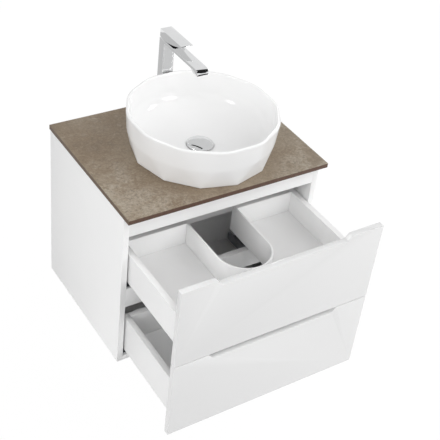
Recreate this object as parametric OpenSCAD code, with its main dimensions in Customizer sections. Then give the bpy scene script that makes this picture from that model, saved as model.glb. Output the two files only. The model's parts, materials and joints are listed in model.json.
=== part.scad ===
// Wall-hung vanity with two drawers, a faceted vessel basin, a tall lever tap
// and a bottle trap. Millimetres. X runs to the right, Y towards the wall, Z up.
// The origin is the middle of the hanging rail's back face, in the wall plane.
// The drawers are drawn pulled out to their stops.

/* [Worktop] */
// How far the worktop reaches past each side panel
worktop_overhang = 3; // [0:0.5:20]
// Depth of the worktop, front edge to wall
worktop_d = 460; // [455:1:520]
// Thickness of the worktop
worktop_t = 13; // [10:1:20]

/* [Carcass] */
// Width over the side panels
carcass_w = 594; // [580:1:600]
// Height of the side panels
carcass_h = 498; // [495:1:540]
// Depth of the side panels
carcass_d = 431; // [425:1:450]
// Thickness of every carcass board
board_t = 16; // [15:0.5:19]
// Height of the front rail under the worktop
top_rail_h = 64; // [50:1:75]
// Height of the front rail between the drawers
middle_rail_h = 62; // [50:1:70]
// Distance from the carcass top down to the middle rail
middle_rail_drop = 239; // [235:1:245]
// Height of the rail that hangs on the wall
hang_rail_h = 90; // [80:1:100]
// Height of the ledge that boxes in the back of the bottom panel
rear_ledge_h = 106; // [90:1:110]
// Depth of that ledge, from the wall to its front
rear_ledge_d = 120; // [110:1:122]
// Distance between the two wall bolts
wall_bolt_spacing = 420; // [300:5:480]
// Diameter of the wall bolt holes
wall_bolt_d = 9; // [6:0.5:12]

/* [Drawer fronts] */
// How far the fronts stand in from the outside of each side panel
front_inset = 0.5; // [0:0.25:2]
// Thickness of both fronts
front_t = 16; // [15:0.5:19]
// Height of the upper front
upper_front_h = 240; // [235:1:245]
// Height of the lower front
lower_front_h = 244; // [240:1:250]
// Gap between the worktop and the upper front
front_top_gap = 17; // [14:0.5:20]
// Gap between the two fronts
front_gap = 3; // [2:0.5:4]
// Width of the finger pull along the top edge
pull_w = 394; // [200:1:450]
// Depth of the finger pull
pull_depth = 14; // [10:0.5:18]
// Slope of the finger pull's two ends, measured along the front
pull_slope = 12; // [8:0.5:16]
// Radius of the finger pull's corners
pull_r = 7; // [2:0.5:9]

/* [Drawer boxes] */
// Gap between a drawer side and the side panel
side_gap = 5; // [4:0.5:7]
// Thickness of the drawer sides and backs
side_t = 16; // [12:0.5:18]
// Thickness of the drawer floors
floor_t = 16; // [12:0.5:16]
// How far the drawer sides reach below the floor
floor_recess = 12; // [11:0.5:14]
// Depth of the upper drawer's box behind its front
upper_box_d = 330; // [320:1:335]
// Depth of the lower drawer's box behind its front
lower_box_d = 283; // [270:1:335]
// Height of the upper drawer's sides
upper_side_h = 94; // [85:1:98]
// Height of the lower drawer's sides
lower_side_h = 116; // [100:1:125]
// Gap between a drawer's sides and the board under it
runner_gap = 20; // [17:0.5:22]

/* [Pipe bay in the upper drawer] */
// Inner width of the bay
bay_w = 148; // [140:1:170]
// How far the bay reaches forward from the drawer's back
bay_reach = 241; // [230:1:260]
// Thickness of the bent wall round the bay
bay_wall_t = 5; // [4:0.5:8]

/* [Runners] */
// Length of the upper drawer's fixed rails
upper_runner_l = 350; // [345:1:360]
// Length of the lower drawer's fixed rails
lower_runner_l = 300; // [295:1:305]
// How far the drawers travel
travel = 260; // [240:1:262]
// Thickness of the runners' sheet steel
steel_t = 1.5; // [1:0.1:2]
// Width of the fixed rail's folded track
track_w = 8; // [7:0.5:10]
// Gap between the track and the slide that runs on it
slide_gap = 0.3; // [0.2:0.05:0.5]

/* [Basin] */
// How far the basin's centre is right of the cabinet's centre
bowl_offset = 20; // [-20:1:30]
// Gap between the basin's rim and the tap's column
tap_bowl_gap = 2.4; // [1:0.1:8]
// Height of the basin
bowl_h = 121; // [115:1:130]
// Radius to the corners of the twelve-sided rim
bowl_rim_r = 205; // [195:1:215]
// How far the round waist, where the facets meet, stands in from that radius
bowl_waist_inset = 7; // [5:0.5:12]
// Height of the waist
bowl_waist_z = 60; // [50:1:70]
// How far the corners of the twelve-sided base stand in from the rim's
bowl_base_inset = 18; // [16:0.5:30]
// Radius that rounds the rim's corners, seen from above
bowl_corner_r = 90; // [60:1:110]
// Thickness of the wall
bowl_wall = 9; // [8:0.5:11]
// Thickness of the floor at the waste
bowl_floor = 10; // [9:0.5:13]

/* [Waste] */
// Outer diameter of the waste's thread
waste_d = 41.8; // [40:0.1:42]
// Diameter of the waste's flange
waste_flange_d = 63; // [60:0.5:65]
// Length of the waste below its flange
waste_l = 98; // [95:1:105]
// Diameter of the domed plug
plug_d = 73; // [70:0.5:75]
// Height of the plug's dome
plug_h = 6.5; // [6:0.5:8]
// How far the plug lifts
plug_travel = 8; // [6:0.5:9]

/* [Trap] */
// Outer diameter of the trap's pipes
pipe_d = 32; // [30:0.5:33]
// Wall of the trap's pipes
pipe_wall = 1.8; // [1.5:0.1:2.5]
// Diameter of the bottle
bottle_d = 60; // [56:1:64]
// Length of the bottle above its cup
bottle_l = 54; // [50:1:58]
// Length of the screwed cup
cup_l = 36; // [32:1:40]
// Distance from the worktop's underside down to the outlet
outlet_drop = 140; // [138:1:142]
// How far the outlet pipe reaches into the wall
pipe_in_wall = 35; // [30:1:50]

/* [Tap] */
// How far the tap stands right of the cabinet's centre
tap_offset = 26; // [0:1:30]
// Distance from the wall to the tap's axis
tap_from_wall = 40; // [38:1:43]
// Width of the column, spout and lever
tap_w = 34; // [33:0.5:38]
// Depth of the column
column_d = 25; // [25:0.5:27]
// Height of the spout's top above the worktop
spout_z = 218.5; // [210:0.5:240]
// Thickness of the spout
spout_t = 8; // [7:0.5:10]
// Reach of the spout from the tap's axis
spout_reach = 187; // [180:1:195]
// How far the nozzle hangs below the spout
nozzle_drop = 8; // [6:0.5:10]
// Depth of the recessed panel in the column's face
panel_depth = 1.2; // [0.5:0.1:2]
// Length of the lever in front of the tap's axis
lever_l = 100; // [90:1:110]
// Height of the lever at its back
lever_h = 25; // [24:0.5:28]
// Thickness of the lever at its tip
lever_tip_t = 2.4; // [2:0.1:4]
// How far the lever lifts, in degrees
lever_lift = 20; // [10:1:22]

/* [Hidden] */
$fn = 64;

// Levels, from the carcass top down
worktop_w = carcass_w + 2 * worktop_overhang;
top_z = hang_rail_h / 2;
slab_z = top_z + worktop_t;
bottom_z = top_z - carcass_h;
bottom_top_z = bottom_z + board_t;
ledge_top_z = bottom_top_z + rear_ledge_h;
middle_top_z = top_z - middle_rail_drop;
inner_x = carcass_w / 2 - board_t;

// Drawer fronts and boxes
front_w = carcass_w - 2 * front_inset;
closed_gap = 3;
front_back_y = -carcass_d - closed_gap - travel;
front_face_y = front_back_y - front_t;
upper_back_y = front_back_y + upper_box_d;
lower_back_y = front_back_y + lower_box_d;
side_x = inner_x - side_gap;
box_in_x = side_x - side_t;
upper_front_z = top_z - front_top_gap - upper_front_h;
lower_front_z = upper_front_z - front_gap - lower_front_h;
upper_box_z = middle_top_z + runner_gap;
lower_box_z = bottom_top_z + runner_gap;

// Pipe bay
bay_fit = 0.2;
bay_out_r = bay_w / 2 + bay_wall_t;
bay_centre_y = upper_back_y - bay_reach + bay_w / 2;

// Runners
track_front_gap = 2;
track_inset = 12;
track_front_y = -carcass_d + track_front_gap;
track_x = box_in_x - track_inset;
slide_front_gap = 2;
lower_slide_tail = 27;
slide_flange_h = 12;
slide_fit = 2;
foot_drop = 13;

// Brackets, screws and dowels
screw_d = 4;
screw_fit = 0.1;
bracket_l = 32;
bracket_t = 2;
bracket_w = 20;
bracket_hole = bracket_l * 0.6;
bracket_front_inset = 40;
bracket_rear_inset = 60;
bracket_front_y = -carcass_d + board_t + bracket_front_inset;
bracket_rear_y = -board_t - bracket_rear_inset;
screw_bite = 8;
dowel_d = 8;
dowel_fit = 0.1;
dowel_in_side = 22;
dowel_in_front = 10;

// Basin: its rim stands clear of the tap's column
tap_y = -tap_from_wall;
column_front_y = tap_y - column_d / 2;
bowl_sides = 12;
bowl_waist_r = bowl_rim_r - bowl_waist_inset;
bowl_base_r = bowl_rim_r - bowl_base_inset;
base_corner_r = 8;
rim_flat = (bowl_rim_r - bowl_corner_r) * cos(180 / bowl_sides) + bowl_corner_r;
bowl_y = column_front_y - tap_bowl_gap - max(rim_flat, bowl_waist_r);
rim_round = 3;
bowl_floor_r = 70;
bowl_side_z = bowl_waist_z + 12;
waste_hole_fit = 1.5;
recess_depth = 3;
plug_fit = 1;

// Waste, from the basin's floor down
seal_t = 1;
flange_t = 2.5;
flange_z = slab_z + bowl_floor - recess_depth + seal_t;
waste_low_z = flange_z - waste_l;
under_seal_t = 3;
backnut_t = 12;
backnut_z = top_z - under_seal_t - backnut_t;
seal_fit = 0.3;
hub_r = 8;
hub_low_z = flange_z - 16;
hub_h = 16.5;
arm_w = 3;
arm_h = 8;
stem_r = 5;
stem_fit = 0.05;
stem_low_z = hub_low_z - 8;
waste_bore_r = waste_d / 2 - 3;
plug_edge = 2;
plug_rest_gap = 0.5;
plug_z = flange_z + flange_t + plug_rest_gap;

// Trap
pipe_r = pipe_d / 2;
bottle_r = bottle_d / 2;
outlet_z = top_z - outlet_drop;
bottle_top_z = outlet_z + 24;
bottle_low_z = bottle_top_z - bottle_l;
cup_low_z = bottle_low_z - cup_l;
bottle_wall = 2.5;
trap_fit = 0.3;
inlet_nut_h = 24;
spigot_l = 16;
spigot_y = bowl_y + bottle_r + spigot_l;
wall_flange_r = 38;
wall_flange_t = 5;
wall_flange_collar = 11;
bead_r = pipe_r + 1.5;
bead_y = 1;
bead_w = 2;

// Tap, from the worktop up
gasket_t = 1.5;
plate_t = 4;
plate_r = 23;
column_z = slab_z + gasket_t + plate_t;
spout_top_z = slab_z + spout_z;
column_back_y = tap_y + column_d / 2;
tip_y = tap_y - spout_reach;
nozzle_l = 22;
nozzle_run = 12;
nozzle_low_z = spout_top_z - spout_t - nozzle_drop;
aerator_r = 8.4;
aerator_h = 7;
aerator_y = tip_y + 12.5;
aerator_fit = 0.2;
aerator_wall = 1.6;
mesh_z = nozzle_low_z + 1;
mesh_pitch = 2.6;
shank_r = 13.5;
shank_drop = 40.5;
shank_low_z = top_z - shank_drop;
shank_hole_fit = 4;
ring_fit = 0.3;
port_depth = 14;
washer_t = 3;
washer_r = shank_r + 8;
tap_nut_t = 10;
panel_side = 4;
panel_low = 12;
panel_top = 22;
panel_r = 5;
inlet_r = 4.5;
inlet_gap = 12.4;
cartridge_r = 9;
cartridge_h = 34;
cartridge_fit = 0.2;
cartridge_nut_h = 5;
cartridge_top_z = spout_top_z - cartridge_nut_h - 0.3;

// Lever: the pin is its lift axis, the stem its turning axis
lever_gap = 0.6;
lever_low_z = spout_top_z + lever_gap;
pin_r = 2;
pin_l = 26;
pin_z = lever_low_z + 6.8;
stem_top_r = 4;
stem_base_r = 7.5;
stem_base_h = 3.5;
pocket_w = 9;
pocket_d = 15;
pocket_h = 8.5;

// A box between two corners
module block(low, high) translate(low) cube(high - low);

// A round bar or bore along Z between two levels
module rod(r, z0, z1) translate([0, 0, z0]) cylinder(r = r, h = z1 - z0);

// A ring along Z between two levels
module ring(r_out, r_in, z0, z1) difference() {
    rod(r_out, z0, z1);
    rod(r_in, z0 - 1, z1 + 1);
}

// A hexagonal nut along Z between two levels
module hex_nut(across, r_in, z0, z1) difference() {
    translate([0, 0, z0]) cylinder(d = across / cos(30), h = z1 - z0, $fn = 6);
    rod(r_in, z0 - 1, z1 + 1);
}

module at_bowl() translate([bowl_offset, bowl_y, 0]) children();
module at_tap() translate([tap_offset, tap_y, 0]) children();

// Points of an arc, for outlines
function arc(c, r, a0, a1, n = 12) =
    [for (i = [0:n]) c + r * [cos(a0 + (a1 - a0) * i / n), sin(a0 + (a1 - a0) * i / n)]];

// ---- Worktop and carcass ----

module worktop() color([0.50, 0.45, 0.39]) difference() {
    block([-worktop_w / 2, -worktop_d, top_z], [worktop_w / 2, 0, slab_z]);
    at_bowl() rod(waste_d / 2 + waste_hole_fit, top_z - 1, slab_z + 1);
    at_tap() rod(shank_r + shank_hole_fit, top_z - 1, slab_z + 1);
    bracket_places() translate([-bracket_hole, 0, -1]) rod(screw_d / 2 + screw_fit, 0, screw_bite + 1);
}

// The right-hand side panel is the left one mirrored
module side_panel() color([0.93, 0.93, 0.93]) difference() {
    block([inner_x, -carcass_d, bottom_z], [carcass_w / 2, 0, top_z]);
    bracket_places() translate([-1, 0, -bracket_hole])
        rotate([0, 90, 0]) rod(screw_d / 2 + screw_fit, 0, screw_bite + 1);
}

// A board between the side panels
module cross_board(y0, y1, z0, z1) color([0.94, 0.94, 0.94])
    block([-inner_x, y0, z0], [inner_x, y1, z1]);

module bottom_panel() cross_board(-carcass_d, 0, bottom_z, bottom_top_z);

module top_front_rail()
    cross_board(-carcass_d, -carcass_d + board_t, top_z - top_rail_h, top_z);

module middle_front_rail()
    cross_board(-carcass_d, -carcass_d + board_t, middle_top_z - middle_rail_h, middle_top_z);

module rear_hanging_rail() difference() {
    cross_board(-board_t, 0, -hang_rail_h / 2, top_z);
    for (side = [-1, 1]) translate([side * wall_bolt_spacing / 2, 1, 0])
        rotate([90, 0, 0]) rod(wall_bolt_d / 2, 0, board_t + 2);
}

// This rail and the ledge on it box in the foot of the wall, behind the lower drawer
module rear_bottom_rail()
    cross_board(-rear_ledge_d, -rear_ledge_d + board_t, bottom_top_z, ledge_top_z - board_t);

module rear_ledge() cross_board(-rear_ledge_d, 0, ledge_top_z - board_t, ledge_top_z);

// Corner under the worktop and inside the right panel, at each right-hand bracket
module bracket_places()
    for (side = [0, 1], y = [bracket_front_y, bracket_rear_y])
        mirror([side, 0, 0]) translate([inner_x, y, top_z]) children();

module worktop_brackets() color([0.72, 0.73, 0.75]) bracket_places() difference() {
    translate([-bracket_l, -bracket_w / 2, -bracket_l]) difference() {
        cube([bracket_l, bracket_w, bracket_l]);
        translate([-1, -1, -1]) cube([bracket_l - bracket_t + 1, bracket_w + 2, bracket_l - bracket_t + 1]);
    }
    translate([-bracket_hole, 0, -bracket_t - 1]) rod(screw_d / 2 + screw_fit, 0, bracket_t + 2);
    translate([-bracket_t - 1, 0, -bracket_hole])
        rotate([0, 90, 0]) rod(screw_d / 2 + screw_fit, 0, bracket_t + 2);
}

// A pan-head screw along +Z, its head under z = 0
module pan_screw(bite) {
    rod(screw_d / 2, 0, bite);
    translate([0, 0, -2]) cylinder(r1 = screw_d * 0.7, r2 = screw_d, h = 2, $fn = 24);
}

module bracket_screws() color([0.8, 0.8, 0.82]) bracket_places() {
    translate([-bracket_hole, 0, -bracket_t]) pan_screw(bracket_t + screw_bite - 0.5);
    translate([-bracket_t, 0, -bracket_hole]) rotate([0, 90, 0]) pan_screw(bracket_t + screw_bite - 0.5);
}

// ---- Runners ----

// Right-hand fixed rail: a web on the side panel, a foot and a folded track
module track(box_z, l) color([0.75, 0.76, 0.78]) {
    foot_z = box_z - foot_drop;
    track_top = box_z + floor_recess - steel_t - slide_gap;
    translate([0, track_front_y + l, 0]) rotate([90, 0, 0]) linear_extrude(l) difference() {
        union() {
            translate([inner_x - steel_t, foot_z]) square([steel_t, floor_recess + foot_drop]);
            translate([track_x, foot_z]) square([inner_x - track_x, steel_t]);
            translate([track_x, foot_z]) square([track_w, track_top - foot_z]);
        }
        translate([track_x + steel_t, foot_z - 1])
            square([track_w - 2 * steel_t, track_top - foot_z - steel_t + 1]);
    }
}

// Both slides of one drawer: channels under the floor that run on the tracks
module slides(box_z, end_y) color([0.78, 0.79, 0.81])
    for (side = [0, 1]) mirror([side, 0, 0]) {
        slide_top = box_z + floor_recess;
        slide_w = track_w + 2 * (slide_fit + steel_t);
        translate([track_x - slide_fit - steel_t, end_y, slide_top - slide_flange_h])
            rotate([90, 0, 0]) linear_extrude(end_y - front_back_y - slide_front_gap) difference() {
                square([slide_w, slide_flange_h]);
                translate([steel_t, -1]) square([slide_w - 2 * steel_t, slide_flange_h - steel_t + 1]);
            }
    }

module upper_slides() slides(upper_box_z, upper_back_y);

// The lower drawer's slides run on past its shorter box
module lower_slides() slides(lower_box_z, lower_back_y + lower_slide_tail);

// ---- Drawers ----

// Outline of a front, seen from the front, with the finger pull in its top edge
module front_outline(h) {
    half_top = pull_w / 2;
    half_low = half_top - pull_slope;
    lean = atan2(pull_depth, pull_slope);
    turn = pull_r * tan(lean / 2);
    right_end = concat(
        arc([half_low - turn, h - pull_depth + pull_r], pull_r, -90, lean - 90),
        arc([half_top + turn, h - pull_r], pull_r, 90 + lean, 90)
    );
    polygon(concat(
        [[-front_w / 2, 0], [front_w / 2, 0], [front_w / 2, h]],
        [for (i = [len(right_end) - 1:-1:0]) right_end[i]],
        [for (p = right_end) [-p[0], p[1]]],
        [[-front_w / 2, h]]
    ));
}

module drawer_front(z, h) color([0.95, 0.95, 0.95])
    translate([0, front_back_y, z]) rotate([90, 0, 0]) linear_extrude(front_t) front_outline(h);

// The places of the dowels that join a front to the ends of its drawer's sides,
// looking forwards from the joint
module dowel_places(box_z, side_h)
    for (side = [-1, 1], level = [0.28, 0.74])
        translate([side * (side_x - side_t / 2), front_back_y, box_z + side_h * level])
            rotate([90, 0, 0]) children();

module front_dowels(box_z, side_h) color([0.80, 0.66, 0.46]) dowel_places(box_z, side_h)
    rod(dowel_d / 2, -dowel_in_side, dowel_in_front);

module dowel_bores(box_z, side_h) dowel_places(box_z, side_h)
    rod(dowel_d / 2 + dowel_fit, -dowel_in_side - 1, dowel_in_front + 0.5);

// Right-hand drawer side
module drawer_side(box_z, side_h, back_y) color([0.94, 0.94, 0.94]) difference() {
    block([box_in_x, front_back_y, box_z], [side_x, back_y, box_z + side_h]);
    dowel_bores(box_z, side_h);
}

module upper_front() difference() {
    drawer_front(upper_front_z, upper_front_h);
    dowel_bores(upper_box_z, upper_side_h);
}

module lower_front() difference() {
    drawer_front(lower_front_z, lower_front_h);
    dowel_bores(lower_box_z, lower_side_h);
}

// Outline of the pipe bay seen from above, open at the drawer's back
module bay_outline(r) {
    translate([0, bay_centre_y]) circle(r = r);
    translate([-r, bay_centre_y]) square([2 * r, upper_back_y - bay_centre_y + 1]);
}

module upper_floor() color([0.93, 0.93, 0.93])
    translate([0, 0, upper_box_z + floor_recess]) linear_extrude(floor_t) difference() {
        translate([-box_in_x, front_back_y])
            square([2 * box_in_x, upper_box_d - side_t]);
        bay_outline(bay_out_r + bay_fit);
    }

module lower_floor() color([0.93, 0.93, 0.93])
    block([-box_in_x, front_back_y, lower_box_z + floor_recess],
          [box_in_x, lower_back_y - side_t, lower_box_z + floor_recess + floor_t]);

// Right-hand half of the upper drawer's back, beside the pipe bay
module upper_half_back() color([0.94, 0.94, 0.94])
    block([bay_out_r + bay_fit, upper_back_y - side_t, upper_box_z + floor_recess],
          [box_in_x, upper_back_y, upper_box_z + upper_side_h]);

module lower_back() color([0.94, 0.94, 0.94])
    block([-box_in_x, lower_back_y - side_t, lower_box_z + floor_recess],
          [box_in_x, lower_back_y, lower_box_z + lower_side_h]);

module upper_bay_wall() color([0.96, 0.96, 0.96])
    translate([0, 0, upper_box_z + floor_recess])
        linear_extrude(upper_side_h - floor_recess) intersection() {
            difference() {
                bay_outline(bay_out_r);
                bay_outline(bay_w / 2);
            }
            translate([-bay_out_r, front_back_y]) square([2 * bay_out_r, upper_box_d]);
        }

// ---- Basin ----

// A thin slice of a twelve-sided prism with rounded corners
module slice(r, corner_r, z, turn, t = 0.02) rotate(turn) translate([0, 0, z])
    linear_extrude(t) offset(r = corner_r) circle(r = r - corner_r, $fn = bowl_sides);

// Rim corners stand over the middles of the base's edges, so flat triangles
// rise from the base and hang from the rim, and meet round the waist
module basin_outside() hull() {
    slice(bowl_base_r, base_corner_r, 0, 0);
    translate([0, 0, bowl_waist_z]) cylinder(r = bowl_waist_r, h = 0.02, $fn = 96);
    slice(bowl_rim_r, bowl_corner_r, bowl_h - rim_round, 180 / bowl_sides);
    slice(bowl_rim_r - rim_round, bowl_corner_r - rim_round, bowl_h - 0.02, 180 / bowl_sides);
}

// The bowl: a quarter ellipse from floor to wall, opened out to the rim
module basin_inside() hull() {
    wall_r = bowl_waist_r - bowl_wall;
    in_r = bowl_rim_r - bowl_wall;
    in_corner_r = bowl_corner_r - bowl_wall;
    rotate_extrude($fn = 96) polygon(concat(
        [[0, bowl_floor]],
        [for (a = [0:15:90]) [bowl_floor_r + (wall_r - bowl_floor_r) * sin(a),
                              bowl_side_z - (bowl_side_z - bowl_floor) * cos(a)]],
        [[0, bowl_side_z]]
    ));
    slice(in_r - rim_round, in_corner_r - rim_round, bowl_h - rim_round, 180 / bowl_sides);
    slice(in_r, in_corner_r, bowl_h, 180 / bowl_sides);
    slice(in_r, in_corner_r, bowl_h + 1, 180 / bowl_sides);
}

module basin() color([0.97, 0.97, 0.96]) at_bowl() difference() {
    translate([0, 0, slab_z]) basin_outside();
    translate([0, 0, slab_z]) basin_inside();
    rod(waste_d / 2 + waste_hole_fit, slab_z - 1, slab_z + bowl_floor + 1);
    rod(plug_d / 2 + plug_fit, slab_z + bowl_floor - recess_depth, slab_z + bowl_floor + 1);
}

// ---- Waste ----

module waste_top_seal() color([0.15, 0.15, 0.15]) at_bowl()
    ring(waste_flange_d / 2 - 1, waste_d / 2 + seal_fit, flange_z - seal_t, flange_z);

module waste_body() color([0.85, 0.86, 0.88]) at_bowl() {
    difference() {
        union() {
            rod(waste_flange_d / 2, flange_z, flange_z + flange_t);
            rod(waste_d / 2, waste_low_z, flange_z + flange_t);
        }
        rod(waste_bore_r, waste_low_z - 1, flange_z + flange_t + 1);
    }
    difference() {
        union() {
            rod(hub_r, hub_low_z, hub_low_z + hub_h);
            for (a = [15, 75, 135]) rotate(a)
                block([-waste_bore_r - 0.5, -arm_w / 2, hub_low_z],
                      [waste_bore_r + 0.5, arm_w / 2, hub_low_z + arm_h]);
        }
        rod(stem_r + stem_fit, hub_low_z - 1, hub_low_z + hub_h + 1);
    }
}

module waste_under_seal() color([0.15, 0.15, 0.15]) at_bowl()
    ring(waste_d / 2 + 9, waste_d / 2 + seal_fit, top_z - under_seal_t, top_z);

module waste_backnut() color([0.8, 0.68, 0.36]) at_bowl()
    hex_nut(waste_d + 16, waste_d / 2 + seal_fit, backnut_z, backnut_z + backnut_t);

// The domed plug closes onto the flange; it lifts with its stem
module waste_plug() color([0.85, 0.86, 0.88]) at_bowl() {
    dome_h = plug_h - plug_edge;
    dome_r = ((plug_d / 2) ^ 2 + dome_h ^ 2) / (2 * dome_h);
    rod(plug_d / 2, plug_z, plug_z + plug_edge);
    intersection() {
        translate([0, 0, plug_z + plug_h - dome_r]) sphere(r = dome_r, $fn = 128);
        rod(plug_d / 2, plug_z + plug_edge, plug_z + plug_h + 1);
    }
}

module plug_stem() color([0.8, 0.68, 0.36]) at_bowl() rod(stem_r, stem_low_z, plug_z);

// ---- Trap ----

// Union nut with finger ribs, hanging below a pipe end
module union_nut(r_in, r_out, l) {
    ring(r_out, r_in, 0, l);
    for (a = [0:30:330]) rotate(a)
        block([r_out - 0.5, -2, 2], [r_out + 1.5, 2, l - 2]);
}

module trap_inlet_nut() color([0.95, 0.95, 0.95]) at_bowl() difference() {
    translate([0, 0, waste_low_z - 10]) union_nut(pipe_r + trap_fit, waste_d / 2 + 4, inlet_nut_h);
    rod(waste_d / 2 + trap_fit, waste_low_z - 3, waste_low_z + inlet_nut_h);
}

module trap_inlet_pipe() color([0.95, 0.95, 0.95]) at_bowl() {
    ring(waste_d / 2, pipe_r - pipe_wall, waste_low_z - 2.5, waste_low_z - 0.2);
    ring(pipe_r, pipe_r - pipe_wall, bottle_low_z - 10, waste_low_z - 2.5);
}

// The bottle: a shouldered shell with a spigot towards the wall
module trap_bottle() color([0.95, 0.95, 0.95]) at_bowl() difference() {
    union() {
        rotate_extrude() polygon([
            [pipe_r + trap_fit, bottle_low_z + 10], [bottle_r, bottle_low_z + 10],
            [bottle_r, bottle_top_z - 8], [bottle_r - 8, bottle_top_z], [pipe_r + trap_fit, bottle_top_z]
        ]);
        rotate_extrude() polygon([
            [bottle_r - bottle_wall - 2, bottle_low_z], [bottle_r - 2, bottle_low_z],
            [bottle_r - 2, bottle_low_z + 11], [bottle_r - bottle_wall - 2, bottle_low_z + 11]
        ]);
        translate([0, 0, outlet_z]) rotate([-90, 0, 0]) rod(pipe_r + 3, 0, bottle_r + spigot_l);
    }
    rod(bottle_r - bottle_wall, bottle_low_z + 11.5, bottle_top_z - 8);
    rod(bottle_r - bottle_wall - 2, bottle_low_z - 1, bottle_low_z + 12);
    rod(pipe_r + trap_fit, bottle_low_z, bottle_top_z + 1);
    translate([0, 0, outlet_z]) rotate([-90, 0, 0]) rod(pipe_r + trap_fit, 5, bottle_r + spigot_l + 1);
}

// The cup screws over the bottle's lower neck, with grip ribs round it
module trap_cup() color([0.93, 0.93, 0.93]) at_bowl() {
    rotate_extrude() polygon([
        [0, cup_low_z], [bottle_r - 8, cup_low_z], [bottle_r, cup_low_z + 8],
        [bottle_r, bottle_low_z + 9.5], [bottle_r - 2 + trap_fit, bottle_low_z + 9.5],
        [bottle_r - 2 + trap_fit, bottle_low_z - 0.3], [bottle_r - bottle_wall - 2, bottle_low_z - 0.3],
        [bottle_r - bottle_wall - 2, cup_low_z + 8], [0, cup_low_z + 3]
    ]);
    for (a = [0:30:330]) rotate(a)
        block([bottle_r - 0.5, -2, bottle_low_z - 16], [bottle_r + 2, 2, bottle_low_z + 8]);
}

module trap_outlet_nut() color([0.95, 0.95, 0.95])
    translate([bowl_offset, spigot_y - 10, outlet_z]) rotate([-90, 0, 0]) difference() {
        union_nut(pipe_r + trap_fit, pipe_r + 7, 20);
        rod(pipe_r + 3 + trap_fit, -1, 10.3);
    }

// The outlet pipe, with a bead that stops it against the wall's socket
module trap_outlet_pipe() color([0.95, 0.95, 0.95])
    translate([bowl_offset, 0, outlet_z]) rotate([-90, 0, 0]) difference() {
        union() {
            rod(pipe_r, spigot_y - spigot_l, pipe_in_wall);
            rod(bead_r, bead_y, bead_y + bead_w);
        }
        rod(pipe_r - pipe_wall, spigot_y - spigot_l - 1, pipe_in_wall + 1);
    }

module trap_wall_flange() color([0.95, 0.95, 0.95])
    translate([bowl_offset, 0, outlet_z]) rotate([90, 0, 0]) rotate_extrude() polygon(concat(
        [[pipe_r + trap_fit, 0], [wall_flange_r, 0]],
        arc([wall_flange_r - wall_flange_t, 0], wall_flange_t, 0, 90),
        [[pipe_r + 4, wall_flange_t], [pipe_r + 2, wall_flange_collar],
         [pipe_r + trap_fit, wall_flange_collar]]
    ));

// ---- Tap ----

// Side outline of the column, spout and nozzle: first axis towards the wall, second up
module tap_outline() {
    nose_r = 11;
    under = spout_top_z - spout_t;
    polygon(concat(
        [[column_back_y, column_z], [column_back_y, spout_top_z]],
        arc([tip_y + nose_r + 1, spout_top_z - nose_r], nose_r, 90, 175),
        [[tip_y, nozzle_low_z], [tip_y + nozzle_l, nozzle_low_z],
         [tip_y + nozzle_l + nozzle_run, under]],
        arc([column_front_y - 4, under - 4], 4, 90, 0),
        [[column_front_y, column_z]]
    ));
}

// Outline of the recessed panel in the column's face, a rectangle with round corners
module panel_outline(w, low, high, r) {
    translate([-w / 2 + r, low]) square([w - 2 * r, high - low]);
    translate([-w / 2, low + r]) square([w, high - low - 2 * r]);
    for (x = [-w / 2 + r, w / 2 - r], z = [low + r, high - r]) translate([x, z]) circle(r = r);
}

module tap_body() color([0.85, 0.86, 0.88]) difference() {
    translate([tap_offset - tap_w / 2, 0, 0]) rotate([90, 0, 90])
        linear_extrude(tap_w) tap_outline();
    translate([tap_offset, column_front_y + panel_depth, 0]) rotate([90, 0, 0])
        linear_extrude(5)
            panel_outline(tap_w - 2 * panel_side, column_z + panel_low, spout_top_z - panel_top, panel_r);
    at_tap() rod(cartridge_r + cartridge_fit, cartridge_top_z - cartridge_h, spout_top_z + 1);
    translate([tap_offset, aerator_y, 0])
        rod(aerator_r + aerator_fit, nozzle_low_z - 1, nozzle_low_z + aerator_h);
}

module tap_base_plate() color([0.85, 0.86, 0.88]) at_tap()
    ring(plate_r, shank_r + ring_fit, slab_z + gasket_t, column_z);

module tap_gasket() color([0.15, 0.15, 0.15]) at_tap()
    ring(plate_r - 1, shank_r + ring_fit, slab_z, slab_z + gasket_t);

// Threaded shank with the two blind ports that the supply hoses screw into
module tap_shank() color([0.8, 0.68, 0.36]) at_tap() difference() {
    rod(shank_r, shank_low_z, column_z);
    for (side = [-1, 1]) translate([side * inlet_gap / 2, 0, 0])
        rod(inlet_r, shank_low_z - 1, shank_low_z + port_depth);
}

module tap_washer() color([0.15, 0.15, 0.15]) at_tap()
    ring(washer_r, shank_r + ring_fit, top_z - washer_t, top_z);

module tap_nut() color([0.8, 0.68, 0.36]) at_tap()
    hex_nut(2 * shank_r + 14, shank_r + ring_fit, top_z - washer_t - tap_nut_t, top_z - washer_t);

module tap_aerator() color([0.6, 0.61, 0.63]) translate([tap_offset, aerator_y, 0]) {
    ring(aerator_r, aerator_r - aerator_wall, nozzle_low_z - 1, nozzle_low_z + aerator_h - 0.3);
    for (turn = [0, 90]) rotate(turn) for (i = [-2:2])
        intersection() {
            rod(aerator_r - aerator_wall + 0.2, mesh_z, mesh_z + 2);
            block([-aerator_r, i * mesh_pitch - 0.4, mesh_z], [aerator_r, i * mesh_pitch + 0.4, mesh_z + 2]);
        }
}

// The cartridge, with a seat in its top for the stem's turning base
module tap_cartridge() color([0.9, 0.9, 0.88]) at_tap() difference() {
    rod(cartridge_r, cartridge_top_z - cartridge_h + 0.3, cartridge_top_z);
    rod(stem_base_r + 0.05, cartridge_top_z - stem_base_h - 0.2, cartridge_top_z + 1);
}

module tap_cartridge_nut() color([0.8, 0.68, 0.36]) at_tap()
    ring(cartridge_r, stem_top_r + 1, cartridge_top_z + 0.1, cartridge_top_z + cartridge_nut_h);

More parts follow.
